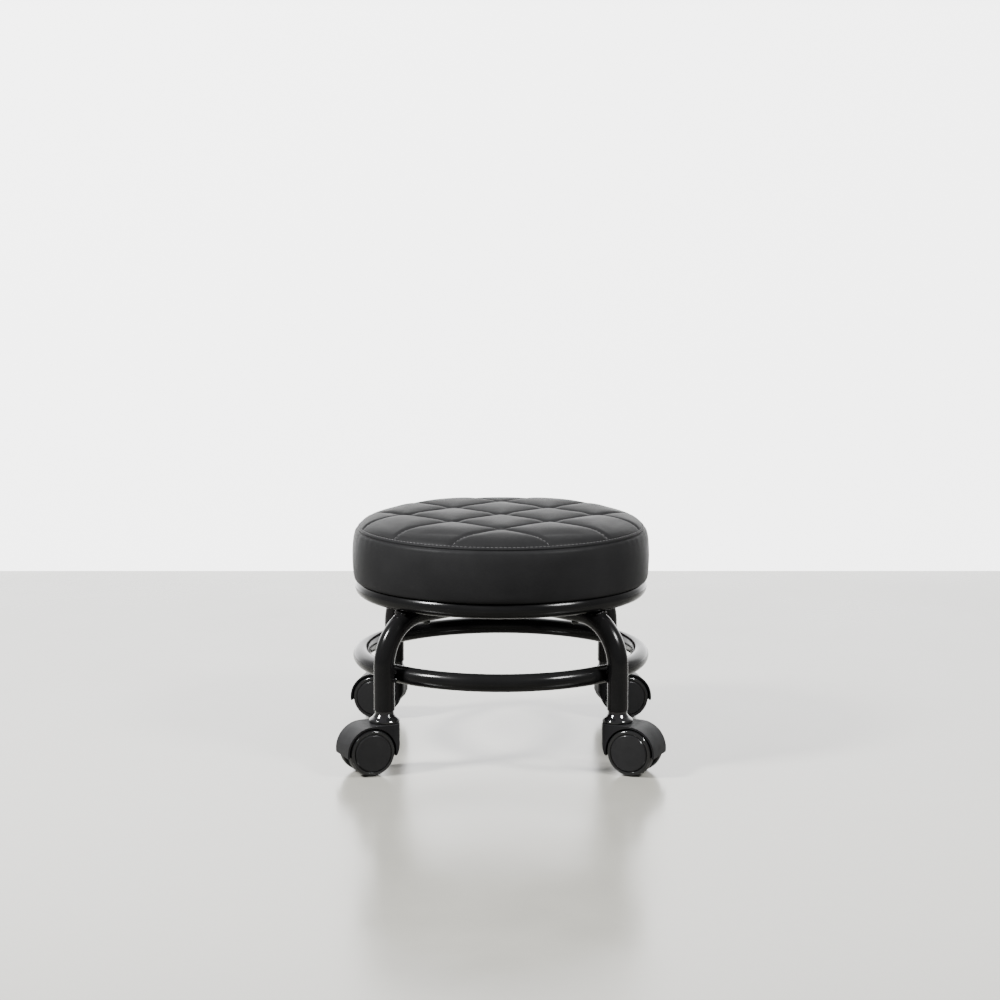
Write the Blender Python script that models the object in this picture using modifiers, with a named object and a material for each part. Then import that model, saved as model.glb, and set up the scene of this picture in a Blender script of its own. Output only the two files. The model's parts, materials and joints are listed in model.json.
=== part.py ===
"""Rolling stylist stool: a round quilted cushion on a welded tube frame with four twin-wheel casters.

Metres, +Z up. The origin is on the floor under the seat's axis, +X to the right and +Y to the back.
"""

import math

import bmesh
import bpy
from mathutils import Matrix, Vector

# Clearances and fineness
GAP = 0.0003
MERGE = 0.0001
SEAT_SEGMENTS = 32
WHEEL_SEGMENTS = 20
SMALL_SEGMENTS = 16
PIN_SEGMENTS = 12
BEND_STEPS = 6
TUBE_RESOLUTION = 4
RING_SEGMENTS = 32
RING_SIDES = 8

# Frame tubes
LEG_RADIUS = 0.011
LEG_WALL = 0.0015
LEG_CIRCLE = 0.174
LEG_FOOT = 0.066
BEND_RADIUS = 0.052
CROSS_HEIGHT = 0.1635
RING_RADIUS = 0.0095
RING_WALL = 0.0013
UPPER_RING_CIRCLE = 0.1505
UPPER_RING_HEIGHT = 0.1786
LOWER_RING_CIRCLE = 0.1532
LOWER_RING_HEIGHT = 0.1014
VENT_HOLE_RADIUS = 0.002

# Seat: the cover's outline as (radius, height), from the middle of the top out and down
TOP_PANEL = [
    (0.0, 0.2608),
    (0.085, 0.2608),
    (0.110, 0.2593),
    (0.130, 0.2563),
    (0.145, 0.2518),
    (0.1525, 0.2472),
    (0.157, 0.2423),
]
SIDE_BAND = [
    (0.1572, 0.2419),
    (0.1590, 0.2385),
    (0.1612, 0.228),
    (0.162, 0.212),
    (0.1612, 0.197),
    (0.1585, 0.1905),
    (0.150, 0.1884),
    (0.140, 0.1884),
]
# The stretch of the side band that the foam fills, as its points
FOAM_SIDE_POINTS = slice(1, 5)
SKIN = 0.0012
WADDING = 0.006
BOARD_RADIUS = 0.155
BOARD_BOTTOM = 0.1899
BOARD_THICKNESS = 0.012
BOARD_EDGE_WIDTH = 0.006
BOARD_EDGE_HEIGHT = 0.003
DUST_COVER_RADIUS = 0.139
DUST_COVER_THICKNESS = 0.0004

# Seat bolts, their saddle spacers and T-nuts
BOLT_CIRCLE = 0.1124
BOLT_RADIUS = 0.0025
BOLT_END = 0.199
# The domed head below the tube, as (radius, depth below the shank)
BOLT_HEAD = [(0.0042, 0.0), (0.0038, 0.0016), (0.0022, 0.0026)]
BOLT_HOLE_RADIUS = 0.0030
SPACER_RADIUS = 0.008
# How far the spacer's saddle reaches down past the top of the leg tube
SADDLE_DEPTH = 0.004
T_NUT_FLANGE_RADIUS = 0.009
T_NUT_FLANGE_THICKNESS = 0.001
T_NUT_BARREL_RADIUS = 0.0036
T_NUT_BARREL_LENGTH = 0.008
T_NUT_SINK = 0.0016

# Casters: U is the distance from the stem along the trail, V across it along the axle
AXLE_U = 0.020
WHEEL_RADIUS = 0.025
WHEEL_INNER_FACE = 0.0076
WHEEL_OUTER_FACE = 0.0203
# The rounding from the outer face to the tread, as (radius, distance from the middle)
WHEEL_SHOULDER = [(0.0222, WHEEL_OUTER_FACE), (0.0242, 0.0186)]
WHEEL_TREAD_EDGES = (0.0165, 0.0095)
WHEEL_INNER_EDGE = 0.0242
WHEEL_RECESS_RADIUS = 0.0187
WHEEL_RECESS_FACE = 0.0184
CAP_FACE = 0.0208
CAP_DOME = 0.0005
AXLE_RADIUS = 0.003
AXLE_HALF_LENGTH = 0.0178
AXLE_CLEARANCE = 0.0003
HOOD_RADIUS = 0.028
HOOD_HALF_WIDTH = 0.019
HOOD_TOP = 0.053
HOOD_LIP_ANGLE = math.radians(-8)
HOOD_END_U = -0.013
HOOD_LIP_THICKNESS = 0.002
# The hood's underside from the stem's block to the web's foot, as (u, z)
HOOD_UNDERSIDE = [(-0.013, 0.031), (-0.008, 0.021), (0.006, 0.014), (0.020, 0.012), (0.034, 0.014)]
HOOD_END_CORNER = 0.0095
HOOD_ARC_STEPS = 9
CORNER_ARC_STEPS = 4
WELL_RADIUS = 0.0262
WEB_HALF_WIDTH = 0.007
STEM_JOURNAL_RADIUS = 0.004
STEM_BORE_RADIUS = 0.0043
STEM_BORE_BOTTOM = 0.035
STEM_SHANK_RADIUS = 0.0055
STEM_TOP = 0.090
STEM_END_PLAY = 0.001
GRIP_GROOVE_RADIUS = 0.0047
GRIP_GROOVE_TOP = 0.086
GRIP_GROOVE_WIDTH = 0.002
SOCKET_RADIUS = 0.0088
SOCKET_BORE_RADIUS = 0.0059
SOCKET_TOP = 0.092
# The collar's bell, as (radius, height above its foot)
COLLAR_BELL = [
    (0.0100, 0.0124),
    (0.0103, 0.0089),
    (0.0120, 0.0060),
    (0.0156, 0.0036),
    (0.0162, 0.0024),
    (0.0162, 0.0),
]

CORNERS = {
    "front_left": (-1, -1),
    "front_right": (1, -1),
    "back_left": (-1, 1),
    "back_right": (1, 1),
}
# The way each caster trails at rest, in degrees from +X
TRAIL_DEGREES = {
    "front_left": 203.5,
    "front_right": -23.5,
    "back_left": 169.5,
    "back_right": 10.5,
}

FINISHES = {
    "leatherette": ((0.016, 0.016, 0.017), 0.42, 0.0),
    "wadding": ((0.80, 0.80, 0.78), 0.95, 0.0),
    "foam": ((0.78, 0.72, 0.50), 0.95, 0.0),
    "plywood": ((0.52, 0.36, 0.20), 0.70, 0.0),
    "dust_cloth": ((0.020, 0.020, 0.020), 0.95, 0.0),
    "gloss_tube": ((0.008, 0.008, 0.009), 0.12, 0.0),
    "gloss_plastic": ((0.009, 0.009, 0.010), 0.15, 0.0),
    "nylon": ((0.014, 0.014, 0.015), 0.38, 0.0),
    "wheel_plastic": ((0.010, 0.010, 0.011), 0.25, 0.0),
    "cap_plastic": ((0.018, 0.018, 0.019), 0.60, 0.0),
    "sleeve_plastic": ((0.05, 0.05, 0.05), 0.55, 0.0),
    "zinc_steel": ((0.60, 0.60, 0.58), 0.35, 1.0),
    "black_bolt": ((0.02, 0.02, 0.02), 0.35, 0.6),
}


def clear_scene():
    for obj in list(bpy.data.objects):
        bpy.data.objects.remove(obj, do_unlink=True)


def new_collection(name):
    collection = bpy.data.collections.new(name)
    bpy.context.scene.collection.children.link(collection)
    return collection


def finish_material(name):
    """The Principled material of one finish, made once and shared by the pieces that have it."""
    if name in bpy.data.materials:
        return bpy.data.materials[name]
    colour, roughness, metallic = FINISHES[name]
    material = bpy.data.materials.new(name)
    material.use_nodes = True
    shader = material.node_tree.nodes["Principled BSDF"]
    shader.inputs["Base Color"].default_value = (*colour, 1.0)
    shader.inputs["Roughness"].default_value = roughness
    shader.inputs["Metallic"].default_value = metallic
    material.diffuse_color = (*colour, 1.0)
    return material


def add_piece(name, mesh, finish):
    mesh.materials.append(finish_material(finish))
    obj = bpy.data.objects.new(name, mesh)
    pieces.objects.link(obj)
    return obj


def add_cutter(name, mesh):
    obj = bpy.data.objects.new(name, mesh)
    obj.hide_render = True
    obj.display_type = "WIRE"
    cutters.objects.link(obj)
    return obj


def cut(obj, cutter, operation="DIFFERENCE"):
    boolean = obj.modifiers.new(cutter.name, "BOOLEAN")
    boolean.operation = operation
    boolean.object = cutter


def place(obj, parent, matrix=None):
    obj.parent = parent
    if matrix:
        obj.matrix_basis = matrix


def turn(obj, segments):
    screw = obj.modifiers.new("Turn", "SCREW")
    screw.steps = segments
    screw.render_steps = segments
    screw.use_merge_vertices = True
    screw.merge_threshold = MERGE


def turned(name, profile, segments, finish):
    """A piece turned about its own Z from (radius, height) points, listed down its outer side.

    A profile that starts off the axis is the section of a ring, so it closes on itself.
    """
    ring = profile[0][0] > 0
    edges = [(i, i + 1) for i in range(len(profile) - 1)]
    if ring:
        edges.append((len(profile) - 1, 0))
    mesh = bpy.data.meshes.new(name)
    mesh.from_pydata([(r, 0, z) for r, z in profile], edges, [])
    obj = add_piece(name, mesh, finish)
    turn(obj, segments)
    return obj


def cylinder_cutter(name, radius, start, end, segments=PIN_SEGMENTS):
    """A cylinder between two points, whose flats lie at the radius, so that a round pin clears it."""
    start, end = Vector(start), Vector(end)
    axis = end - start
    corner_radius = radius / math.cos(math.pi / segments)
    mesh = bpy.data.meshes.new(name)
    bm = bmesh.new()
    bmesh.ops.create_cone(
        bm,
        cap_ends=True,
        segments=segments,
        radius1=corner_radius,
        radius2=corner_radius,
        depth=axis.length,
    )
    bm.to_mesh(mesh)
    bm.free()
    turn_to_axis = axis.to_track_quat("Z", "Y").to_matrix().to_4x4()
    mesh.transform(Matrix.Translation((start + end) / 2) @ turn_to_axis)
    return add_cutter(name, mesh)


def curve_mesh(name, curve):
    """The mesh of a curve, with its caps welded on."""
    helper = bpy.data.objects.new(name, curve)
    pieces.objects.link(helper)
    graph = bpy.context.evaluated_depsgraph_get()
    mesh = bpy.data.meshes.new_from_object(helper.evaluated_get(graph))
    mesh.name = name
    bpy.data.objects.remove(helper, do_unlink=True)
    bpy.data.curves.remove(curve)
    bm = bmesh.new()
    bm.from_mesh(mesh)
    bmesh.ops.remove_doubles(bm, verts=bm.verts, dist=MERGE / 10)
    bm.to_mesh(mesh)
    bm.free()
    mesh.materials.clear()
    return mesh


def extruded_mesh(name, outline, half_thickness):
    """A flat outline of (x, y) points, extruded both ways along Z."""
    curve = bpy.data.curves.new(name, "CURVE")
    curve.dimensions = "2D"
    curve.fill_mode = "BOTH"
    curve.extrude = half_thickness
    spline = curve.splines.new("POLY")
    spline.points.add(len(outline) - 1)
    for point, (x, y) in zip(spline.points, outline):
        point.co = (x, y, 0, 1)
    spline.use_cyclic_u = True
    return curve_mesh(name, curve)


def tube(name, path, radius, wall, finish):
    """An open tube along a path, with its wall inside the radius."""
    curve = bpy.data.curves.new(name, "CURVE")
    curve.dimensions = "3D"
    curve.bevel_depth = radius
    curve.bevel_resolution = TUBE_RESOLUTION
    spline = curve.splines.new("POLY")
    spline.points.add(len(path) - 1)
    for point, position in zip(spline.points, path):
        point.co = (*position, 1)
    mesh = curve_mesh(name, curve)
    mesh.shade_smooth()
    obj = add_piece(name, mesh, finish)
    shell = obj.modifiers.new("Wall", "SOLIDIFY")
    shell.thickness = wall
    shell.offset = -1
    shell.use_even_offset = True
    return obj


def inset(points, distance):
    """The same outline moved inwards, with each corner mitred."""
    steps = [(Vector(b) - Vector(a)).normalized() for a, b in zip(points, points[1:])]
    inwards = [Vector((step.y, -step.x)) for step in steps]
    moved = []
    for i, point in enumerate(points):
        before = inwards[max(i - 1, 0)]
        after = inwards[min(i, len(inwards) - 1)]
        middle = (before + after).normalized()
        moved.append(tuple(Vector(point) + middle * (distance / middle.dot(after))))
    return moved


def lowered(points, distance):
    return [(r, z - distance) for r, z in points]


def diagonal(corner):
    """The level unit vector from the seat's axis to a corner's leg."""
    x, y = CORNERS[corner]
    return Vector((x, y, 0)).normalized()


# Seat


def make_cover():
    inner = inset(TOP_PANEL, SKIN)
    turned("cover_top_panel", TOP_PANEL + inner[::-1], SEAT_SEGMENTS, "leatherette")
    inner = inset(SIDE_BAND, SKIN)
    turned("cover_side_band", SIDE_BAND + inner[::-1], SEAT_SEGMENTS, "leatherette")


def make_padding():
    """The quilt's wadding under the top panel, and the foam pad that fills the cover above the board."""
    wadding_top = inset(TOP_PANEL, SKIN + GAP)[:-1]
    wadding_bottom = lowered(wadding_top, WADDING)
    wadding_outline = wadding_top + wadding_bottom[::-1]
    turned("quilt_wadding", wadding_outline, SEAT_SEGMENTS, "wadding")
    foam_top = lowered(wadding_bottom, GAP)
    foam_bottom = BOARD_BOTTOM + BOARD_THICKNESS + GAP
    side = inset(SIDE_BAND, SKIN + GAP)[FOAM_SIDE_POINTS]
    foam_side = [(r, max(z, foam_bottom)) for r, z in side]
    foam_outline = foam_top + foam_side + [(0, foam_bottom)]
    turned("seat_foam", foam_outline, SEAT_SEGMENTS, "foam")


def make_board():
    """The plywood disc under the foam. Its lower edge is eased where the cover folds under it."""
    top = BOARD_BOTTOM + BOARD_THICKNESS
    outline = [
        (0, top),
        (BOARD_RADIUS, top),
        (BOARD_RADIUS, BOARD_BOTTOM + BOARD_EDGE_HEIGHT),
        (BOARD_RADIUS - BOARD_EDGE_WIDTH, BOARD_BOTTOM),
        (0, BOARD_BOTTOM),
    ]
    board = turned("seat_board", outline, SEAT_SEGMENTS, "plywood")
    for corner in CORNERS:
        centre = diagonal(corner) * BOLT_CIRCLE
        barrel_radius = T_NUT_BARREL_RADIUS + GAP
        hole_foot = centre + Vector((0, 0, BOARD_BOTTOM - SKIN))
        hole_top = centre + Vector((0, 0, top + SKIN))
        cut(board, cylinder_cutter(f"{corner}_board_hole", barrel_radius, hole_foot, hole_top))
        sink_radius = T_NUT_FLANGE_RADIUS + GAP
        sink_foot = centre + Vector((0, 0, top - T_NUT_SINK))
        cut(board, cylinder_cutter(f"{corner}_t_nut_sink", sink_radius, sink_foot, hole_top))


def make_dust_cover():
    top = BOARD_BOTTOM - GAP
    bottom = top - DUST_COVER_THICKNESS
    outline = [(0, top), (DUST_COVER_RADIUS, top), (DUST_COVER_RADIUS, bottom), (0, bottom)]
    cover = turned("dust_cover", outline, SEAT_SEGMENTS, "dust_cloth")
    for corner in CORNERS:
        centre = diagonal(corner) * BOLT_CIRCLE
        start = centre + Vector((0, 0, bottom - SKIN))
        end = centre + Vector((0, 0, top + SKIN))
        cut(cover, cylinder_cutter(f"{corner}_dust_hole", BOLT_HOLE_RADIUS, start, end))


# Frame


def make_ring(name, circle, height):
    """A welded hoop of tube. A small vent hole under its back opens the bore, as on any coated tube."""
    bpy.ops.mesh.primitive_torus_add(
        major_segments=RING_SEGMENTS,
        minor_segments=RING_SIDES,
        major_radius=circle,
        minor_radius=RING_RADIUS,
    )
    primitive = bpy.context.object
    mesh = primitive.data
    bpy.data.objects.remove(primitive, do_unlink=True)
    mesh.name = name
    mesh.shade_smooth()
    ring = add_piece(name, mesh, "gloss_tube")
    ring.location.z = height
    shell = ring.modifiers.new("Wall", "SOLIDIFY")
    shell.thickness = RING_WALL
    shell.offset = -1
    underside = Vector((0, circle, height - RING_RADIUS))
    reach = Vector((0, 0, 2 * RING_WALL))
    vent = cylinder_cutter(f"{name}_vent", VENT_HOLE_RADIUS, underside - reach, underside + reach)
    cut(ring, vent)


def leg_line(corner, inner_end):
    """A leg's centre-line, from its foot up round the bend and in to a distance from the seat's axis."""
    outwards = diagonal(corner)
    bend_circle = LEG_CIRCLE - BEND_RADIUS
    bend_height = CROSS_HEIGHT - BEND_RADIUS
    points = [outwards * LEG_CIRCLE + Vector((0, 0, LEG_FOOT))]
    for i in range(BEND_STEPS + 1):
        angle = math.pi / 2 * i / BEND_STEPS
        across = bend_circle + BEND_RADIUS * math.cos(angle)
        height = bend_height + BEND_RADIUS * math.sin(angle)
        points.append(outwards * across + Vector((0, 0, height)))
    points.append(outwards * inner_end + Vector((0, 0, CROSS_HEIGHT)))
    return points


def cut_bolt_hole(leg, corner):
    centre = diagonal(corner) * BOLT_CIRCLE
    start = centre + Vector((0, 0, CROSS_HEIGHT - 2 * LEG_RADIUS))
    end = centre + Vector((0, 0, CROSS_HEIGHT + 2 * LEG_RADIUS))
    cut(leg, cylinder_cutter(f"{corner}_tube_hole", BOLT_HOLE_RADIUS, start, end))


def make_legs():
    """One tube makes the front left and back right legs. The other two end in a saddle against it."""
    through = leg_line("front_left", 0)[:-1] + leg_line("back_right", 0)[-2::-1]
    through_leg = tube("through_leg_tube", through, LEG_RADIUS, LEG_WALL, "gloss_tube")
    cut_bolt_hole(through_leg, "front_left")
    cut_bolt_hole(through_leg, "back_right")
    centre = Vector((0, 0, CROSS_HEIGHT))
    reach = diagonal("front_left") * 4 * LEG_RADIUS
    saddle_radius = LEG_RADIUS + GAP
    saddle = cylinder_cutter(
        "leg_saddle", saddle_radius, centre - reach, centre + reach, SMALL_SEGMENTS
    )
    for corner in ("front_right", "back_left"):
        line = leg_line(corner, LEG_RADIUS / 2)
        leg = tube(f"{corner}_leg_tube", line, LEG_RADIUS, LEG_WALL, "gloss_tube")
        cut(leg, saddle)
        cut_bolt_hole(leg, corner)


def make_seat_bolt(corner):
    head_top = CROSS_HEIGHT - LEG_RADIUS - GAP
    shank = [(0, BOLT_END), (BOLT_RADIUS, BOLT_END), (BOLT_RADIUS, head_top)]
    head = [(r, head_top - depth) for r, depth in BOLT_HEAD]
    outline = shank + head + [(0, head[-1][1])]
    bolt = turned(f"{corner}_seat_bolt", outline, PIN_SEGMENTS, "black_bolt")
    bolt.location = diagonal(corner) * BOLT_CIRCLE


def make_spacer(corner):
    """A bush on the seat bolt, whose foot is a saddle that sits on the leg tube."""
    top = BOARD_BOTTOM - 2 * GAP - DUST_COVER_THICKNESS - GAP
    bottom = CROSS_HEIGHT + LEG_RADIUS - SADDLE_DEPTH
    outline = [
        (SPACER_RADIUS, top),
        (SPACER_RADIUS, bottom),
        (BOLT_HOLE_RADIUS, bottom),
        (BOLT_HOLE_RADIUS, top),
    ]
    spacer = turned(f"{corner}_seat_spacer", outline, SMALL_SEGMENTS, "sleeve_plastic")
    outwards = diagonal(corner)
    spacer.location = outwards * BOLT_CIRCLE
    centre = outwards * BOLT_CIRCLE + Vector((0, 0, CROSS_HEIGHT))
    reach = outwards * 2 * SPACER_RADIUS
    saddle_radius = LEG_RADIUS + GAP
    saddle = cylinder_cutter(
        f"{corner}_spacer_saddle", saddle_radius, centre - reach, centre + reach, SMALL_SEGMENTS
    )
    cut(spacer, saddle)


def make_t_nut(corner):
    flange_foot = BOARD_BOTTOM + BOARD_THICKNESS - T_NUT_SINK + GAP
    flange_top = flange_foot + T_NUT_FLANGE_THICKNESS
    barrel_foot = flange_foot - T_NUT_BARREL_LENGTH
    bore_radius = BOLT_RADIUS + GAP
    outline = [
        (T_NUT_FLANGE_RADIUS, flange_top),
        (T_NUT_FLANGE_RADIUS, flange_foot),
        (T_NUT_BARREL_RADIUS, flange_foot),
        (T_NUT_BARREL_RADIUS, barrel_foot),
        (bore_radius, barrel_foot),
        (bore_radius, flange_top),
    ]
    nut = turned(f"{corner}_t_nut", outline, PIN_SEGMENTS, "zinc_steel")
    nut.location = diagonal(corner) * BOLT_CIRCLE


# Casters


def make_stem_socket(corner):
    foot = LEG_FOOT + GAP
    outline = [
        (SOCKET_RADIUS, SOCKET_TOP),
        (SOCKET_RADIUS, foot),
        (SOCKET_BORE_RADIUS, foot),
        (SOCKET_BORE_RADIUS, SOCKET_TOP),
    ]
    socket = turned(f"{corner}_stem_socket", outline, PIN_SEGMENTS, "sleeve_plastic")
    socket.location = diagonal(corner) * LEG_CIRCLE


def make_collar(corner):
    """The bell that covers the stem between the leg's end and the hood."""
    top = LEG_FOOT - GAP
    foot = HOOD_TOP + GAP
    bell = [(r, foot + height) for r, height in COLLAR_BELL]
    outline = bell + [(SOCKET_BORE_RADIUS, foot), (SOCKET_BORE_RADIUS, top)]
    outline[0] = (bell[0][0], top)
    collar = turned(f"{corner}_leg_collar", outline, SMALL_SEGMENTS, "gloss_plastic")
    collar.location = diagonal(corner) * LEG_CIRCLE


def make_stem(corner):
    """The steel pin that the hood turns on. A groove near its top takes the socket's grip."""
    groove_foot = GRIP_GROOVE_TOP - GRIP_GROOVE_WIDTH
    journal_foot = STEM_BORE_BOTTOM + STEM_END_PLAY
    outline = [
        (0, STEM_TOP),
        (STEM_SHANK_RADIUS, GRIP_GROOVE_TOP + GRIP_GROOVE_WIDTH),
        (STEM_SHANK_RADIUS, GRIP_GROOVE_TOP),
        (GRIP_GROOVE_RADIUS, GRIP_GROOVE_TOP),
        (GRIP_GROOVE_RADIUS, groove_foot),
        (STEM_SHANK_RADIUS, groove_foot),
        (STEM_SHANK_RADIUS, HOOD_TOP + GAP),
        (STEM_JOURNAL_RADIUS, HOOD_TOP + GAP),
        (STEM_JOURNAL_RADIUS, journal_foot),
        (0, journal_foot),
    ]
    stem = turned(f"{corner}_caster_stem", outline, PIN_SEGMENTS, "zinc_steel")
    stem.location = diagonal(corner) * LEG_CIRCLE


def arc(centre, radius, start, end, steps):
    angles = [start + (end - start) * i / steps for i in range(steps + 1)]
    return [(centre[0] + radius * math.cos(a), centre[1] + radius * math.sin(a)) for a in angles]


def hood_side_outline():
    """The hood seen along the axle, as (u, z): the arc over the wheels, the stem's block and the web."""
    fender = arc((AXLE_U, WHEEL_RADIUS), HOOD_RADIUS, HOOD_LIP_ANGLE, math.pi / 2, HOOD_ARC_STEPS)
    lip_u, lip_z = fender[0]
    lip_foot = (lip_u - HOOD_LIP_THICKNESS, lip_z)
    return fender + [(HOOD_END_U, HOOD_TOP)] + HOOD_UNDERSIDE + [lip_foot]


def hood_plan_outline():
    """The hood seen from above, as (u, v), with the stem's end rounded."""
    front = AXLE_U + HOOD_RADIUS + HOOD_END_CORNER
    centre_u = HOOD_END_U + HOOD_END_CORNER
    centre_v = HOOD_HALF_WIDTH - HOOD_END_CORNER
    left = arc((centre_u, centre_v), HOOD_END_CORNER, math.pi / 2, math.pi, CORNER_ARC_STEPS)
    right = [(u, -v) for u, v in left[::-1]]
    return [(front, -HOOD_HALF_WIDTH), (front, HOOD_HALF_WIDTH)] + left + right


def make_hood_cutters():
    """What is taken from every hood, about a stem that stands on the origin."""
    plan_mesh = extruded_mesh("hood_plan", hood_plan_outline(), 2 * HOOD_TOP)
    plan = add_cutter("hood_plan", plan_mesh)
    wells = []
    for side in (-1, 1):
        start = (AXLE_U, side * WEB_HALF_WIDTH, WHEEL_RADIUS)
        end = (AXLE_U, side * 2 * HOOD_HALF_WIDTH, WHEEL_RADIUS)
        name = f"wheel_well_{'right' if side < 0 else 'left'}"
        wells.append(cylinder_cutter(name, WELL_RADIUS, start, end, 2 * WHEEL_SEGMENTS))
    stem_bore = cylinder_cutter(
        "stem_bore", STEM_BORE_RADIUS, (0, 0, STEM_BORE_BOTTOM), (0, 0, 2 * HOOD_TOP)
    )
    reach = 2 * WEB_HALF_WIDTH
    axle_bore = cylinder_cutter(
        "axle_bore",
        AXLE_RADIUS + AXLE_CLEARANCE,
        (AXLE_U, -reach, WHEEL_RADIUS),
        (AXLE_U, reach, WHEEL_RADIUS),
    )
    return plan, wells + [stem_bore, axle_bore]


def make_hood_mesh(plan, holes):
    """The hood's solid, cut once and shared by the four casters."""
    mesh = extruded_mesh("caster_hood", hood_side_outline(), HOOD_HALF_WIDTH)
    mesh.transform(Matrix.Rotation(math.pi / 2, 4, "X"))
    blank = add_cutter("caster_hood_blank", mesh)
    cut(blank, plan, "INTERSECT")
    for hole in holes:
        cut(blank, hole)
    graph = bpy.context.evaluated_depsgraph_get()
    cut_mesh = bpy.data.meshes.new_from_object(blank.evaluated_get(graph))
    bpy.data.objects.remove(blank, do_unlink=True)
    cut_mesh.name = "caster_hood"
    cut_mesh.materials.clear()
    cut_mesh.materials.append(finish_material("nylon"))
    cut_mesh.shade_smooth()
    cut_mesh.set_sharp_from_angle(angle=math.radians(30))
    return cut_mesh


def wheel_outline():
    """A wheel as (radius, distance from the caster's middle), whose tread's flats lie at its radius."""
    corner = 1 / math.cos(math.pi / WHEEL_SEGMENTS)
    bore = (AXLE_RADIUS + AXLE_CLEARANCE) * corner
    recess = WHEEL_RECESS_RADIUS
    tread = WHEEL_RADIUS * corner
    return [
        (recess, WHEEL_OUTER_FACE),
        *WHEEL_SHOULDER,
        *[(tread, edge) for edge in WHEEL_TREAD_EDGES],
        (WHEEL_INNER_EDGE, WHEEL_INNER_FACE),
        (bore, WHEEL_INNER_FACE),
        (bore, WHEEL_RECESS_FACE),
        (recess, WHEEL_RECESS_FACE),
    ]


def cap_outline():
    rim = WHEEL_RECESS_RADIUS - GAP
    foot = WHEEL_RECESS_FACE + GAP
    return [(0, CAP_FACE), (rim, CAP_FACE - CAP_DOME), (rim, foot), (0, foot)]


def axle_outline():
    length = AXLE_HALF_LENGTH
    return [(0, length), (AXLE_RADIUS, length), (AXLE_RADIUS, -length), (0, -length)]


def make_caster(corner, hood_mesh):
    """The turning group of one caster, under an empty on the stem's axis that points along the trail."""
    swivel = bpy.data.objects.new(f"{corner}_swivel_axis", None)
    pieces.objects.link(swivel)
    swivel.location = diagonal(corner) * LEG_CIRCLE
    swivel.rotation_euler.z = math.radians(TRAIL_DEGREES[corner])
    hood = bpy.data.objects.new(f"{corner}_caster_hood", hood_mesh)
    pieces.objects.link(hood)
    place(hood, swivel)
    to_axle = Matrix.Translation((AXLE_U, 0, WHEEL_RADIUS))
    axle = turned(f"{corner}_axle", axle_outline(), PIN_SEGMENTS, "zinc_steel")
    place(axle, swivel, to_axle @ Matrix.Rotation(math.pi / 2, 4, "X"))
    # Half a facet of spin stands each wheel on a flat of its tread.
    flat_down = Matrix.Rotation(math.pi / WHEEL_SEGMENTS, 4, "Z")
    for side, way in (("left", -1), ("right", 1)):
        to_wheel = to_axle @ Matrix.Rotation(way * math.pi / 2, 4, "X") @ flat_down
        wheel = turned(f"{corner}_{side}_wheel", wheel_outline(), WHEEL_SEGMENTS, "wheel_plastic")
        place(wheel, swivel, to_wheel)
        cap = turned(f"{corner}_{side}_wheel_cap", cap_outline(), WHEEL_SEGMENTS, "cap_plastic")
        place(cap, swivel, to_wheel)


clear_scene()
pieces = new_collection("rolling_stylist_stool")
cutters = new_collection("cutters")

make_cover()
make_padding()
make_board()
make_dust_cover()
make_ring("upper_ring", UPPER_RING_CIRCLE, UPPER_RING_HEIGHT)
make_ring("lower_ring", LOWER_RING_CIRCLE, LOWER_RING_HEIGHT)
make_legs()
shared_hood = make_hood_mesh(*make_hood_cutters())
for corner_name in CORNERS:
    make_seat_bolt(corner_name)
    make_spacer(corner_name)
    make_t_nut(corner_name)
    make_stem_socket(corner_name)
    make_collar(corner_name)
    make_stem(corner_name)
    make_caster(corner_name, shared_hood)
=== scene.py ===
"""Looks of the rolling stylist stool, round its CAD frame: quilted cushion, coated tubes, casters, studio."""

import json
import math

import bmesh
import bpy
import numpy as np
from mathutils import Matrix, Vector
from mathutils.bvhtree import BVHTree


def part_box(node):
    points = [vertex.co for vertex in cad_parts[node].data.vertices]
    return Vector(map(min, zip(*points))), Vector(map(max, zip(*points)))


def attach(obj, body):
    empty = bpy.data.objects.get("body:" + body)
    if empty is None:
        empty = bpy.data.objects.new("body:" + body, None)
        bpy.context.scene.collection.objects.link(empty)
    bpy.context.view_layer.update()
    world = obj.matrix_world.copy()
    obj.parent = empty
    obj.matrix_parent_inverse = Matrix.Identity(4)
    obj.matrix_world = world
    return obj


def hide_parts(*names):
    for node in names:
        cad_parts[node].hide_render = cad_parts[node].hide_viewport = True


MM = 0.001

# Fineness of the finished meshes
TUBE_SIDES = 40
RING_SEGMENTS = 200
BEND_STEPS = 24
WHEEL_SEGMENTS = 96
COLLAR_SEGMENTS = 64
FILLET_STEPS = 5

# Frame and casters
CORNERS = {"front_left": (-1, -1), "front_right": (1, -1), "back_left": (-1, 1), "back_right": (1, 1)}
LEG_RADIUS = 11.0 * MM
LEG_CIRCLE = 174.0 * MM
BEND_RADIUS = 52.0 * MM
RING_RADIUS = 9.5 * MM
BOLT_CIRCLE = 112.4 * MM
BOLT_RADIUS = 2.4 * MM
BOLT_HEAD_HEIGHT = 2.6 * MM
SOCKET_RADIUS = 1.6 * MM
SOCKET_DEPTH = 1.5 * MM
BUSH_BORE = 3.6 * MM
AXLE_OFFSET = 20.0 * MM
WHEEL_RADIUS = 25.0 * MM
HOOD_RADIUS = 28.0 * MM
HOOD_HALF_WIDTH = 19.0 * MM
WELL_RADIUS = 26.2 * MM
WEB_HALF = 7.0 * MM
BLOCK_ROUND = 9.5 * MM
HOOD_EDGE = 0.9 * MM

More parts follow.
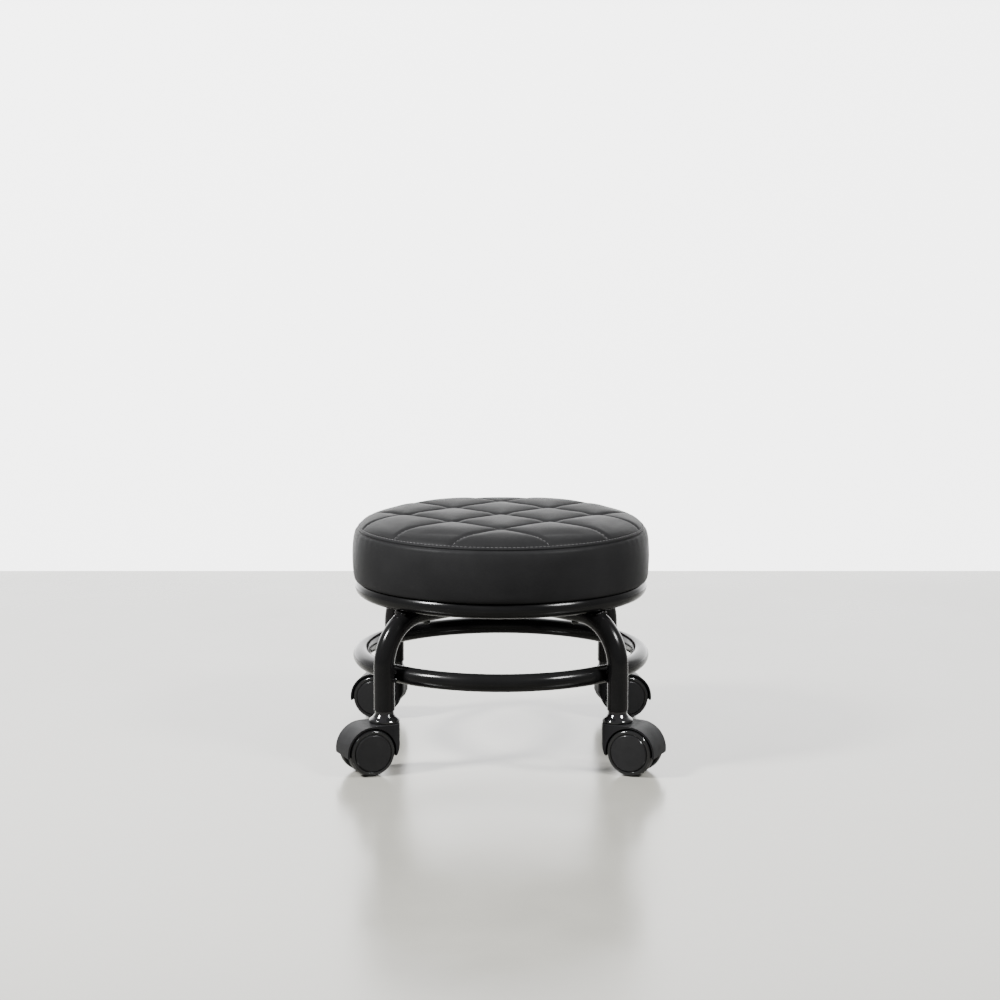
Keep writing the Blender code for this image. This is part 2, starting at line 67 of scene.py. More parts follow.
# The cover's section as (radius, height) in mm: the valleys' level on top, the seam, the band,
# the hem and the inside
SKIN_TOP = [
    (0, 255.3),
    (45, 255.2),
    (85, 254.9),
    (108, 254.8),
    (126, 254.6),
    (139, 253.4),
    (149, 249.9),
    (154, 246.0),
]
SKIN_SEAM = (157.5, 241.6)
SKIN_BAND = [(160.3, 236.6), (161.9, 228), (162.7, 214), (162.4, 201), (161.6, 192), (160.3, 187.2)]
SKIN_FOOT = [(158.3, 186.0), (155.5, 187.3), (151, 188.5), (146, 188.55), (141, 188.5)]
SKIN_INSIDE = [(141, 189.9), (151.5, 189.9), (156.5, 193.5), (156.5, 202.5), (120, 202.5)]
ROW_GAPS = {"top": 1.7 * MM, "seam": 0.45 * MM, "band": 2.2 * MM, "hem": 1.1 * MM}
FIRST_ROW = 1.5 * MM
SEAM_REACH = 8 * MM
FOOT_REACH = 6 * MM

# Quilting and seams
QUILT_HALF_X = 52.5 * MM
QUILT_HALF_Y = 49.0 * MM
QUILT_LINES = (-2, 0, 2)
QUILT_STEPS_PER_UNIT = 12
QUILT_REACH = 4.5
SHEET_RADIUS = 158.0 * MM
PUFF_CAP = 7.0 * MM
PUFF_GAIN = 3.2
PUFF_FADE = (146.5 * MM, 153.0 * MM)
CREASE_FADE = (152.5 * MM, 157.0 * MM)
CREASE_DEPTH = 1.6 * MM
CREASE_WIDTH = 2.6 * MM
DIMPLE_DEPTH = 0.16 * MM
DIMPLE_WIDTH = 2.2 * MM
PUCKER_PLACE = 3 * MM
CLOTH_SLACK = 0.001
CLOTH_STIFFNESS = 8
CLOTH_BENDING = 18
CLOTH_PRESSURE = 11
CLOTH_FRAMES = 20
STITCH_COUNT = 212
STITCH_PITCH = 4.6 * MM
STITCH_HALF = 0.38
QUILT_STITCH_HALF = 0.36
TOPSTITCH_SINK = 0.25 * MM
COLUMNS = 2 * STITCH_COUNT
SEAM_TO_TOPSTITCH = 4.2 * MM
TOP_THREAD_RADIUS = 0.34 * MM
QUILT_THREAD_RADIUS = 0.27 * MM

# Under the seat
DUST_CLOTH_THICKNESS = 0.15 * MM
STAPLE_COUNT = 28
STAPLE_HALF = (0.6 * MM, 5.0 * MM, 0.25 * MM)
STAPLE_EDGE = 0.15 * MM
STAPLE_INSET = 4 * MM
VENT_RADIUS = 2.0 * MM

# Welds
BEAD_SIDES = 14
BEAD_STEPS = 9
BEAD_REACH = math.radians(42)
BEAD_TAPER = 0.35
RIPPLE = 0.14
RIPPLE_STEP = 2.1
CONTACT_BEAD_RADIUS = 2.0 * MM
CROSS_BEAD_RADIUS = 1.5 * MM
CROSS_BEAD_STEPS = 72

# Where the finish changes on a wheel and its cap, as heights and radii from the middle of the caster
TREAD_TO_FACE = (15.8 * MM, 17.2 * MM)
FACE_TO_EDGE = (18.2 * MM, 19.0 * MM)

# Studio and camera
FLOOR_DARK = (0.155, 0.152, 0.135)
FLOOR_PALE = (0.197, 0.193, 0.173)
STAGE_HALF = 9.0
WALL_PLACE = 1.08
WALL_HEIGHT = 2.6
WALL_COLOUR = (0.4, 0.4, 0.4)
WALL_GLOW = 3.6
WALL_EDGE_GLOW = 0.15
WALL_FADE = (0.8, 1.3)
WALL_TOP_FADE = (0.86, 1.1)
KEY_LIGHT = {"place": (-1.4, -0.6, 1.5), "size": (0.3, 0.4), "energy": 195}
FILL_LIGHT = {"place": (1.3, -0.9, 1.5), "size": (0.45, 0.3), "energy": 115}
LIGHT_TARGET = (0, 0, 0.15)
AIR_GLOW = 0.45
EYE = (-0.001, -2.597, 0.656)
EYE_DIP = 0.147
LENS = 86.4
SENSOR = 36

# Leatherette grain
PEBBLE_SMOOTHNESS = 0.35

UP = Vector((0, 0, 1))
ON_AXIS = 1e-7
SKY = 0.3
SQUARE = ((-1, -1), (1, -1), (1, 1), (-1, 1))
BOX_FACES = ((0, 3, 2, 1), (4, 5, 6, 7), (0, 1, 5, 4), (1, 2, 6, 5), (2, 3, 7, 6), (3, 0, 4, 7))

rng = np.random.default_rng(7)

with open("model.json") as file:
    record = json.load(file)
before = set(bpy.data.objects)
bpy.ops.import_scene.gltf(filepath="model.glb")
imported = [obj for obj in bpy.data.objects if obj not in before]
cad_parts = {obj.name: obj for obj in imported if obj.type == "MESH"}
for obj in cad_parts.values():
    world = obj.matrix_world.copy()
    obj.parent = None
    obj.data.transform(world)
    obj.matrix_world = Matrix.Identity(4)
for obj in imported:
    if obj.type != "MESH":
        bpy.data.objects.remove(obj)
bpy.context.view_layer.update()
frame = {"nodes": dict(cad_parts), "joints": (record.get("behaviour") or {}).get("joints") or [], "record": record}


# Mesh helpers


def mesh_object(name, points, faces, material, smooth=True):
    mesh = bpy.data.meshes.new(name)
    mesh.from_pydata([tuple(p) for p in points], [], [tuple(f) for f in faces])
    mesh.validate()
    mesh.materials.append(material)
    if smooth:
        mesh.shade_smooth()
    obj = bpy.data.objects.new(name, mesh)
    bpy.context.scene.collection.objects.link(obj)
    return obj


def row_faces(rows, columns, first=0):
    """The quads between closed rows of points, which are numbered row by row from first."""
    faces = []
    for row in range(rows - 1):
        for k in range(columns):
            n = (k + 1) % columns
            a = first + row * columns
            b = a + columns
            faces.append((a + k, b + k, b + n, a + n))
    return faces


def turned(radius, angle, height):
    """The points at each radius and height, all the way round, as rows of x, y and z."""
    x, y = radius * np.cos(angle), radius * np.sin(angle)
    return np.stack([x.ravel(), y.ravel(), np.broadcast_to(height, x.shape).ravel()], axis=1)


def mm_points(*corners):
    """(radius, height, fillet radius) corners given in mm, as a rounded outline in metres."""
    return rounded([tuple(value * MM for value in corner) for corner in corners])


def baked(obj):
    """The object with its modifiers applied."""
    graph = bpy.context.evaluated_depsgraph_get()
    mesh = bpy.data.meshes.new_from_object(obj.evaluated_get(graph))
    obj.modifiers.clear()
    obj.data = mesh
    return obj


def arc(centre, radius, start, end, steps):
    """Points along an arc, both ends included."""
    angles = [start + (end - start) * i / steps for i in range(steps + 1)]
    return [(centre[0] + radius * math.cos(a), centre[1] + radius * math.sin(a)) for a in angles]


def rounded(corners):
    """A closed outline of (x, y) points from (x, y, fillet radius) corners."""
    outline = []
    for i, (x, y, radius) in enumerate(corners):
        here = Vector((x, y))
        if not radius:
            outline.append((x, y))
            continue
        to_before = (Vector(corners[i - 1][:2]) - here).normalized()
        to_after = (Vector(corners[(i + 1) % len(corners)][:2]) - here).normalized()
        half = to_before.angle(to_after) / 2
        centre = here + (to_before + to_after).normalized() * (radius / math.sin(half))
        start = here + to_before * (radius / math.tan(half)) - centre
        end = here + to_after * (radius / math.tan(half)) - centre
        sweep = start.angle_signed(end)
        for k in range(FILLET_STEPS + 1):
            spoke = start.copy()
            spoke.rotate(Matrix.Rotation(-sweep * k / FILLET_STEPS, 2))
            outline.append(tuple(centre + spoke))
    return outline


def revolved(name, profile, segments, material, matrix=None):
    """A closed piece turned about its own Z from (radius, height) points that run down its outer side."""
    angles = 2 * math.pi * np.arange(segments) / segments
    points, rings = [], []
    for r, z in profile:
        first = len(points)
        if r < ON_AXIS:
            points.append((0.0, 0.0, z))
            rings.append([first] * segments)
        else:
            points.extend((r * math.cos(a), r * math.sin(a), z) for a in angles)
            rings.append(list(range(first, first + segments)))
    pairs = list(zip(rings, rings[1:]))
    if profile[0][0] > ON_AXIS:
        pairs.append((rings[-1], rings[0]))
    faces = []
    for upper, lower in pairs:
        for k in range(segments):
            n = (k + 1) % segments
            corner = [upper[k], lower[k], lower[n], upper[n]]
            face = list(dict.fromkeys(corner))
            if len(face) > 2:
                faces.append(face)
    obj = mesh_object(name, points, faces, material)
    if matrix:
        obj.matrix_world = matrix
    obj.modifiers.new("Even shading", "WEIGHTED_NORMAL")
    return obj


def tube(name, path, radius, material, cyclic=False, sides=TUBE_SIDES, swell=None):
    """A round bar along a path. swell gives a radius factor for each point."""
    curve = bpy.data.curves.new(name, "CURVE")
    curve.dimensions = "3D"
    curve.bevel_depth = radius
    curve.bevel_resolution = sides // 2 - 2
    curve.use_fill_caps = not cyclic
    spline = curve.splines.new("POLY")
    spline.points.add(len(path) - 1)
    for k, (point, position) in enumerate(zip(spline.points, path)):
        point.co = (*position, 1)
        point.radius = swell[k] if swell else 1.0
    spline.use_cyclic_u = cyclic
    helper = bpy.data.objects.new(name, curve)
    bpy.context.scene.collection.objects.link(helper)
    graph = bpy.context.evaluated_depsgraph_get()
    mesh = bpy.data.meshes.new_from_object(helper.evaluated_get(graph))
    bpy.data.objects.remove(helper)
    bpy.data.curves.remove(curve)
    welded = bmesh.new()
    welded.from_mesh(mesh)
    bmesh.ops.remove_doubles(welded, verts=welded.verts, dist=0.001 * MM)
    welded.to_mesh(mesh)
    welded.free()
    mesh.materials.clear()
    mesh.materials.append(material)
    mesh.shade_smooth()
    mesh.set_sharp_from_angle(angle=math.radians(50))
    mesh.name = name
    obj = bpy.data.objects.new(name, mesh)
    bpy.context.scene.collection.objects.link(obj)
    return obj


def prism(name, outline, low, high, material):
    """A flat outline of (x, y) points, raised from low to high along Z."""
    count = len(outline)
    points = [(x, y, low) for x, y in outline] + [(x, y, high) for x, y in outline]
    sides = [(i, (i + 1) % count, count + (i + 1) % count, count + i) for i in range(count)]
    caps = [tuple(range(count))[::-1], tuple(range(count, 2 * count))]
    obj = mesh_object(name, points, sides + caps, material, smooth=False)
    solid = bmesh.new()
    solid.from_mesh(obj.data)
    bmesh.ops.recalc_face_normals(solid, faces=solid.faces)
    solid.to_mesh(obj.data)
    solid.free()
    return obj


def carve(obj, cutters, operation="DIFFERENCE"):
    """Cuts the object with each cutter in turn, and removes the cutters."""
    for cutter in cutters:
        boolean = obj.modifiers.new("Carve", "BOOLEAN")
        boolean.object = cutter
        boolean.operation = operation
    baked(obj)
    for cutter in cutters:
        bpy.data.objects.remove(cutter)


def stitch_points(start, end, up, radius, sides=6, stations=5):
    """The rings of one thread stitch: a short bar that thins and dips into the cover at both ends."""
    along = (end - start).normalized()
    across = along.cross(up).normalized()
    rings = []
    for k in range(stations):
        t = k / (stations - 1)
        rise = math.sin(math.pi * t)
        centre = start.lerp(end, t) + up * radius * (1.1 * rise - 0.5)
        thickness = radius * (0.45 + 0.55 * rise)
        ring = []
        for side in range(sides):
            angle = 2 * math.pi * side / sides
            ring.append(centre + (across * math.cos(angle) + up * math.sin(angle)) * thickness)
        rings.append(ring)
    return rings


def stitches_object(name, spans, radius, material):
    """Every stitch of a seam as one piece. spans are (start, end, up) vectors."""
    points, faces = [], []
    for start, end, up in spans:
        rings = stitch_points(start, end, up, radius)
        first = len(points)
        sides = len(rings[0])
        for ring in rings:
            points.extend(ring)
        faces += row_faces(len(rings), sides, first)
        faces.append([first + k for k in range(sides)])
        last = first + (len(rings) - 1) * sides
        faces.append([last + k for k in range(sides)][::-1])
    return mesh_object(name, points, faces, material)


# Materials


def start_material(name, roughness=0.5, gloss=0.5, metallic=0.0):
    """A new material, its node tree and its shader. gloss is the shader's specular level."""
    material = bpy.data.materials.new(name)
    material.use_nodes = True
    tree = material.node_tree
    shader = tree.nodes["Principled BSDF"]
    shader.inputs["Roughness"].default_value = roughness
    shader.inputs["Specular IOR Level"].default_value = gloss
    shader.inputs["Metallic"].default_value = metallic
    return material, tree, shader


def add_node(tree, kind, inputs=None, **settings):
    node = tree.nodes.new(kind)
    for key, value in settings.items():
        setattr(node, key, value)
    for key, value in (inputs or {}).items():
        node.inputs[key].default_value = value
    return node


def object_point(tree, scale=(1, 1, 1)):
    """The point on the piece, in metres, stretched by scale."""
    place = add_node(tree, "ShaderNodeTexCoord")
    mapping = add_node(tree, "ShaderNodeMapping", {"Scale": scale})
    tree.links.new(place.outputs["Object"], mapping.inputs["Vector"])
    return mapping.outputs["Vector"]


def noise(tree, point, scale, detail=4.0, roughness=0.55):
    node = add_node(tree, "ShaderNodeTexNoise", {"Scale": scale, "Detail": detail, "Roughness": roughness})
    tree.links.new(point, node.inputs["Vector"])
    return node.outputs["Fac"]


def cells(tree, point, scale, feature="F1"):
    node = add_node(tree, "ShaderNodeTexVoronoi", {"Scale": scale}, feature=feature)
    if feature == "SMOOTH_F1":
        node.inputs["Smoothness"].default_value = PEBBLE_SMOOTHNESS
    tree.links.new(point, node.inputs["Vector"])
    return node.outputs["Distance"]


def remap(tree, value, low, high, to_low, to_high):
    """The value's range from low to high, stretched to run from to_low to to_high and held there beyond."""
    inputs = {"From Min": low, "From Max": high, "To Min": to_low, "To Max": to_high}
    node = add_node(tree, "ShaderNodeMapRange", inputs)
    tree.links.new(value, node.inputs["Value"])
    return node.outputs["Result"]


def tint(tree, shader, factor, first, second):
    """Mixes the shader's base colour from two colours."""
    node = add_node(tree, "ShaderNodeMix", {"A": (*first, 1), "B": (*second, 1)}, data_type="RGBA")
    tree.links.new(factor, node.inputs["Factor"])
    tree.links.new(node.outputs["Result"], shader.inputs["Base Color"])


def roughen(tree, shader, roughness):
    tree.links.new(roughness, shader.inputs["Roughness"])


def maths(tree, operation, *values):
    """One sum on links or plain numbers."""
    node = add_node(tree, "ShaderNodeMath", operation=operation)
    for socket, value in zip(node.inputs, values):
        if isinstance(value, (int, float)):
            socket.default_value = value
        else:
            tree.links.new(value, socket)
    return node.outputs["Value"]


def total(tree, first, second, share=1.0):
    """The first value with a share of the second added."""
    return maths(tree, "MULTIPLY_ADD", second, share, first)


def add_bump(tree, shader, height, depth, strength):
    node = add_node(tree, "ShaderNodeBump", {"Strength": strength, "Distance": depth})
    tree.links.new(height, node.inputs["Height"])
    tree.links.new(node.outputs["Normal"], shader.inputs["Normal"])


def leatherette_material():
    """Grained vinyl: small pebbles between fine creases, with faint tone and gloss patches."""
    material, tree, shader = start_material("leatherette_looks", gloss=0.017)
    point = object_point(tree)
    patches = noise(tree, point, 22, 3)
    tint(tree, shader, patches, (0.006, 0.006, 0.0062), (0.0105, 0.0105, 0.0108))
    pebbles = cells(tree, point, 900, "SMOOTH_F1")
    creases = cells(tree, point, 520, "DISTANCE_TO_EDGE")
    grain = total(tree, remap(tree, creases, 0, 0.12, 0, 1), pebbles, -0.5)
    grain = total(tree, grain, noise(tree, point, 2600, 2), 0.25)
    roughen(tree, shader, total(tree, remap(tree, patches, 0.3, 0.7, 0.36, 0.46), creases, 0.1))
    add_bump(tree, shader, grain, 0.05 * MM, 0.55)
    return material


def thread_material():
    """Twisted polyester thread."""
    material, tree, shader = start_material("thread_looks", roughness=0.5)
    twist = cells(tree, object_point(tree), 2500)
    tint(tree, shader, twist, (0.015, 0.015, 0.0155), (0.05, 0.05, 0.051))
    add_bump(tree, shader, twist, 0.05 * MM, 0.6)
    return material


def coated_tube_material():
    """Gloss black coating on steel: a faint orange peel, and hazier patches where hands and feet rub."""
    material, tree, shader = start_material("coated_tube_looks", gloss=0.1)
    point = object_point(tree)
    rubbed = noise(tree, point, 30, 5)
    roughen(tree, shader, remap(tree, rubbed, 0.35, 0.75, 0.15, 0.23))
    tint(tree, shader, rubbed, (0.0025, 0.0025, 0.0026), (0.0045, 0.0045, 0.0046))
    peel = total(tree, noise(tree, point, 420, 2), noise(tree, point, 1500, 1), 0.2)
    add_bump(tree, shader, peel, 0.012 * MM, 0.5)
    return material


def moulded_material(name, colour, roughness, gloss, grain_scale, grain_depth):
    """Moulded plastic with a spark-eroded grain and faint flow patches."""
    material, tree, shader = start_material(name, gloss=gloss)
    point = object_point(tree)
    flow = noise(tree, point, 60, 4)
    darker = tuple(0.8 * c for c in colour)
    lighter = tuple(1.25 * c for c in colour)
    tint(tree, shader, flow, darker, lighter)
    roughen(tree, shader, remap(tree, flow, 0.3, 0.7, roughness * 0.88, roughness * 1.12))
    grain = total(tree, noise(tree, point, grain_scale, 3, 0.7), cells(tree, point, grain_scale), 0.5)
    add_bump(tree, shader, grain, grain_depth, 0.6)
    return material


def wheel_material():
    """The twin wheels' moulding: a polished face, and a tread scuffed dull by rolling."""
    material, tree, shader = start_material("wheel_looks", gloss=0.3)
    parts = add_node(tree, "ShaderNodeSeparateXYZ")
    tree.links.new(object_point(tree), parts.inputs["Vector"])
    scuffs = noise(tree, object_point(tree, (1, 1, 3)), 500, 5, 0.7)
    face = remap(tree, parts.outputs["Z"], *TREAD_TO_FACE, 0.55, 0.1)
    roughen(tree, shader, total(tree, face, scuffs, 0.06))
    tint(tree, shader, scuffs, (0.003, 0.003, 0.0032), (0.009, 0.009, 0.0092))
    add_bump(tree, shader, scuffs, 0.02 * MM, 0.4)
    return material


def cap_material():
    """The wheel caps' moulding: a matt, grained face with a polished edge."""
    material, tree, shader = start_material("cap_looks", gloss=0.11)
    point = object_point(tree)
    reach = add_node(tree, "ShaderNodeVectorMath", operation="LENGTH")
    tree.links.new(object_point(tree, (1, 1, 0)), reach.inputs["Vector"])
    grain = total(tree, noise(tree, point, 2300, 3, 0.7), cells(tree, point, 2100), 0.5)
    polish = remap(tree, reach.outputs["Value"], *FACE_TO_EDGE, 0.55, 0.12)
    roughen(tree, shader, total(tree, polish, grain, 0.05))
    tint(tree, shader, noise(tree, point, 90, 4), (0.005, 0.005, 0.0052), (0.009, 0.009, 0.0093))
    grain_share = remap(tree, reach.outputs["Value"], *FACE_TO_EDGE, 1, 0.1)
    add_bump(tree, shader, maths(tree, "MULTIPLY", grain, grain_share), 0.03 * MM, 0.6)
    return material


def zinc_material():
    """Zinc plate: pale metal with fine turning marks and dull blotches."""
    material, tree, shader = start_material("zinc_looks", metallic=1.0)
    streaks = noise(tree, object_point(tree, (1, 1, 14)), 500, 3)
    blotches = noise(tree, object_point(tree), 150, 3)
    tint(tree, shader, blotches, (0.5, 0.5, 0.49), (0.72, 0.72, 0.69))
    roughen(tree, shader, remap(tree, blotches, 0.3, 0.7, 0.28, 0.44))
    add_bump(tree, shader, streaks, 0.02 * MM, 0.5)
    return material


def black_bolt_material():
    """Black oxide on the seat bolts' heads, worn paler in patches."""
    material, tree, shader = start_material("black_bolt_looks", metallic=0.6)
    wear = noise(tree, object_point(tree), 700, 5)
    tint(tree, shader, wear, (0.012, 0.012, 0.012), (0.06, 0.06, 0.058))
    roughen(tree, shader, remap(tree, wear, 0.3, 0.7, 0.28, 0.5))
    add_bump(tree, shader, wear, 0.02 * MM, 0.4)
    return material


def dust_cloth_material():
    """Spun bonded cloth: matted fibres pressed flat at rows of small points."""
    material, tree, shader = start_material("dust_cloth_looks", roughness=0.9)
    fibres = noise(tree, object_point(tree, (1, 0.25, 1)), 1800, 5, 0.7)
    dots = cells(tree, object_point(tree), 620)
    tint(tree, shader, fibres, (0.012, 0.012, 0.012), (0.045, 0.045, 0.045))
    add_bump(tree, shader, total(tree, fibres, dots, 0.8), 0.12 * MM, 0.8)
    return material


def plywood_material():
    """Birch ply: long grain on the faces and thin layers on the edge."""
    material, tree, shader = start_material("plywood_looks", roughness=0.7)
    grain = noise(tree, object_point(tree, (4, 60, 600)), 4, 5, 0.65)
    tint(tree, shader, grain, (0.36, 0.23, 0.12), (0.66, 0.5, 0.31))
    add_bump(tree, shader, grain, 0.1 * MM, 0.4)
    return material


def floor_material():
    """Pale sealed floor with faint clouding and a soft gloss."""
    material, tree, shader = start_material("floor_looks")
    point = object_point(tree)
    clouds = noise(tree, point, 5, 6, 0.6)
    specks = noise(tree, point, 160, 4, 0.7)
    tint(tree, shader, total(tree, clouds, specks, 0.12), FLOOR_DARK, FLOOR_PALE)
    roughen(tree, shader, remap(tree, clouds, 0.3, 0.7, 0.17, 0.25))
    add_bump(tree, shader, specks, 0.1 * MM, 0.1)
    return material


def wall_material():
    """White studio wall that is clear from behind, so that it hides nothing from a camera beyond it."""
    material, tree, shader = start_material("wall_looks", roughness=0.9, gloss=0.0)
    shader.inputs["Base Color"].default_value = (*WALL_COLOUR, 1)
    shader.inputs["Emission Color"].default_value = (1, 1, 1, 1)
    point = object_point(tree)
    parts = add_node(tree, "ShaderNodeSeparateXYZ")
    tree.links.new(point, parts.inputs["Vector"])
    across = remap(tree, maths(tree, "ABSOLUTE", parts.outputs["X"]), *WALL_FADE, 1, 0)
    upwards = remap(tree, parts.outputs["Z"], *WALL_TOP_FADE, 1, 0)
    glow = remap(tree, maths(tree, "MULTIPLY", across, upwards), 0, 1, WALL_EDGE_GLOW, WALL_GLOW)
    tree.links.new(glow, shader.inputs["Emission Strength"])
    add_bump(tree, shader, noise(tree, point, 260, 3), 0.2 * MM, 0.1)
    clear = add_node(tree, "ShaderNodeBsdfTransparent")
    side = add_node(tree, "ShaderNodeNewGeometry")
    choice = add_node(tree, "ShaderNodeMixShader")
    tree.links.new(side.outputs["Backfacing"], choice.inputs["Fac"])
    tree.links.new(shader.outputs["BSDF"], choice.inputs[1])
    tree.links.new(clear.outputs["BSDF"], choice.inputs[2])
    tree.links.new(choice.outputs["Shader"], tree.nodes["Material Output"].inputs["Surface"])
    return material


looks = {
    "leatherette": leatherette_material(),
    "thread": thread_material(),
    "gloss_tube": coated_tube_material(),
    "gloss_plastic": moulded_material("gloss_collar_looks", (0.004, 0.004, 0.0042), 0.1, 0.4, 500, 0.01 * MM),
    "nylon": moulded_material("nylon_looks", (0.0068, 0.0068, 0.0072), 0.46, 0.045, 1900, 0.035 * MM),
    "wheel_plastic": wheel_material(),
    "cap_plastic": cap_material(),
    "sleeve_plastic": moulded_material("sleeve_looks", (0.012, 0.012, 0.0124), 0.55, 0.2, 1500, 0.03 * MM),
    "zinc_steel": zinc_material(),
    "black_bolt": black_bolt_material(),
    "dust_cloth": dust_cloth_material(),
    "plywood": plywood_material(),
}


def finish(obj, body, slot, *nodes):
    """Rides a piece on its body and hides the CAD nodes that it stands for. slot is not used."""
    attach(obj, body)
    if nodes:
        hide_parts(*nodes)


def diagonal(corner):
    """The level direction from the seat's axis out to a corner."""
    return Vector((*CORNERS[corner], 0)).normalized()


# Cushion


def smooth_line(points, steps=24):
    """A Catmull-Rom curve through (x, y) points."""
    padded = [points[0]] + list(points) + [points[-1]]
    line = []
    for p0, p1, p2, p3 in zip(padded, padded[1:], padded[2:], padded[3:]):
        p0, p1, p2, p3 = (np.array(p, float) for p in (p0, p1, p2, p3))
        for k in range(steps):
            t = k / steps
            bend = (2 * p0 - 5 * p1 + 4 * p2 - p3) * t**2
            twist = (3 * p1 - p0 - 3 * p2 + p3) * t**3
            line.append(0.5 * (2 * p1 + (p2 - p0) * t + bend + twist))
    line.append(np.array(points[-1], float))
    return np.array(line)


def skin_rows():
    """The cover's section as rows of (radius, height), close at the seam, and their ways from the seam."""
    line = smooth_line(SKIN_TOP + [SKIN_SEAM] + SKIN_BAND + SKIN_FOOT) * MM
    steps = np.linalg.norm(np.diff(line, axis=0), axis=1)
    way = np.concatenate([[0], np.cumsum(steps)])

    def way_to(corner):
        return way[np.argmin(np.linalg.norm(line - np.array(corner) * MM, axis=1))]

    seam_way, foot_way = way_to(SKIN_SEAM), way_to(SKIN_BAND[-1])
    stops = [FIRST_ROW, seam_way - SEAM_REACH, seam_way + SEAM_REACH, foot_way - FOOT_REACH, way[-1]]
    places = []
    for start, end, gap in zip(stops, stops[1:], ROW_GAPS.values()):
        places.append(np.linspace(start, end, max(2, round((end - start) / gap)), endpoint=False))
    places = np.append(np.concatenate(places), way[-1])
    rows = np.stack([np.interp(places, way, line[:, 0]), np.interp(places, way, line[:, 1])], axis=1)
    return rows, places - seam_way


def lattice(x, y):
    """Quilt coordinates: a line of stitches runs wherever either is one of QUILT_LINES."""
    return x / QUILT_HALF_X + y / QUILT_HALF_Y, x / QUILT_HALF_X - y / QUILT_HALF_Y


def line_distance(x, y):
    """How far a point is from the nearest line of stitches, in metres, and its way along that line."""
    slope = math.hypot(1 / QUILT_HALF_X, 1 / QUILT_HALF_Y)
    first, second = lattice(x, y)
    options = [(np.abs(first - k) / slope, second) for k in QUILT_LINES]
    options += [(np.abs(second - k) / slope, first) for k in QUILT_LINES]
    distances = np.stack([d for d, _ in options])
    ways = np.stack([w for _, w in options])
    nearest = distances.argmin(axis=0)
    along = np.take_along_axis(ways, nearest[None], 0)[0] / slope
    return distances.min(axis=0), along


def valley_height(r):
    """The top panel's height along its stitches, at a radius."""
    line = smooth_line(SKIN_TOP + [SKIN_SEAM]) * MM
    return np.interp(r, line[:, 0], line[:, 1])


def cloth_puffs():
    """The rise of the top panel's cloth between its stitches, by simulation, on the quilt's own grid."""
    count = round(QUILT_REACH * QUILT_STEPS_PER_UNIT)
    steps = np.arange(-count, count + 1)
    first, second = np.meshgrid(steps / QUILT_STEPS_PER_UNIT, steps / QUILT_STEPS_PER_UNIT, indexing="ij")
    x = QUILT_HALF_X * (first + second) / 2
    y = QUILT_HALF_Y * (first - second) / 2
    r = np.hypot(x, y)
    z = valley_height(np.minimum(r, SHEET_RADIUS))
    used = r < SHEET_RADIUS + 3 * MM
    number = np.full(used.shape, -1)
    number[used] = np.arange(used.sum())
    corners = [number[:-1, :-1], number[:-1, 1:], number[1:, 1:], number[1:, :-1]]
    faces = np.stack([c.ravel() for c in corners], axis=1)
    faces = faces[(faces >= 0).all(axis=1)]
    points = np.stack([x[used], y[used], z[used]], axis=1)
    sheet = mesh_object("cloth_sheet", points, faces, looks["leatherette"])
    upwards = sheet.data.polygons[0].normal.z > 0
    on_line = np.zeros(used.shape, bool)
    for k in QUILT_LINES:
        on_line |= np.isclose(first, k) | np.isclose(second, k)
    pinned = (on_line | (r > SHEET_RADIUS - 4 * MM))[used]
    pins = sheet.vertex_groups.new(name="pins")
    pins.add(np.nonzero(pinned)[0].tolist(), 1.0, "REPLACE")
    cloth = sheet.modifiers.new("Cloth", "CLOTH")
    settings = cloth.settings
    settings.vertex_group_mass = "pins"
    settings.quality = 8
    settings.mass = 0.3
    settings.tension_stiffness = CLOTH_STIFFNESS
    settings.compression_stiffness = CLOTH_STIFFNESS
    settings.shear_stiffness = CLOTH_STIFFNESS / 3
    settings.bending_stiffness = CLOTH_BENDING
    settings.shrink_min = -CLOTH_SLACK
    settings.use_pressure = True
    settings.uniform_pressure_force = CLOTH_PRESSURE if upwards else -CLOTH_PRESSURE
    settings.effector_weights.gravity = 0
    for moment in range(1, CLOTH_FRAMES + 1):
        bpy.context.scene.frame_set(moment)
    graph = bpy.context.evaluated_depsgraph_get()
    blown = sheet.evaluated_get(graph).to_mesh()
    after = np.zeros(len(blown.vertices) * 3, np.float32)
    blown.vertices.foreach_get("co", after)
    rise = np.zeros(used.shape)
    rise[used] = after.reshape(-1, 3)[:, 2] - points[:, 2]
    sheet.evaluated_get(graph).to_mesh_clear()
    bpy.data.objects.remove(sheet)
    bpy.context.scene.frame_set(1)
    return steps / QUILT_STEPS_PER_UNIT, rise


def sampled(axis, grid, first, second):
    """The grid's values between its points."""
    step = axis[1] - axis[0]
    limit = len(axis) - 1.001
    a = np.clip((first - axis[0]) / step, 0, limit)
    b = np.clip((second - axis[0]) / step, 0, limit)
    i, j = a.astype(int), b.astype(int)
    u, v = a - i, b - j
    near = grid[i, j] * (1 - v) + grid[i, j + 1] * v
    far = grid[i + 1, j] * (1 - v) + grid[i + 1, j + 1] * v
    return near * (1 - u) + far * u


def smooth_step(value, low, high):
    """0 below low, 1 above high, and an even ramp between."""
    t = np.clip((value - low) / (high - low), 0, 1)
    return t * t * (3 - 2 * t)


def wavy(angle, counts, amount):
    """A closed wave round the cushion, the sum of a few sines with random phases."""
    phases = rng.uniform(0, 2 * math.pi, len(counts))
    waves = [np.sin(n * angle + p) for n, p in zip(counts, phases)]
    return amount * np.sum(waves, axis=0) / len(counts)


def bump_at(way, centre, width):
    """A smooth swell of height 1 across the seam."""
    return np.exp(-(((way - centre) / width) ** 2))


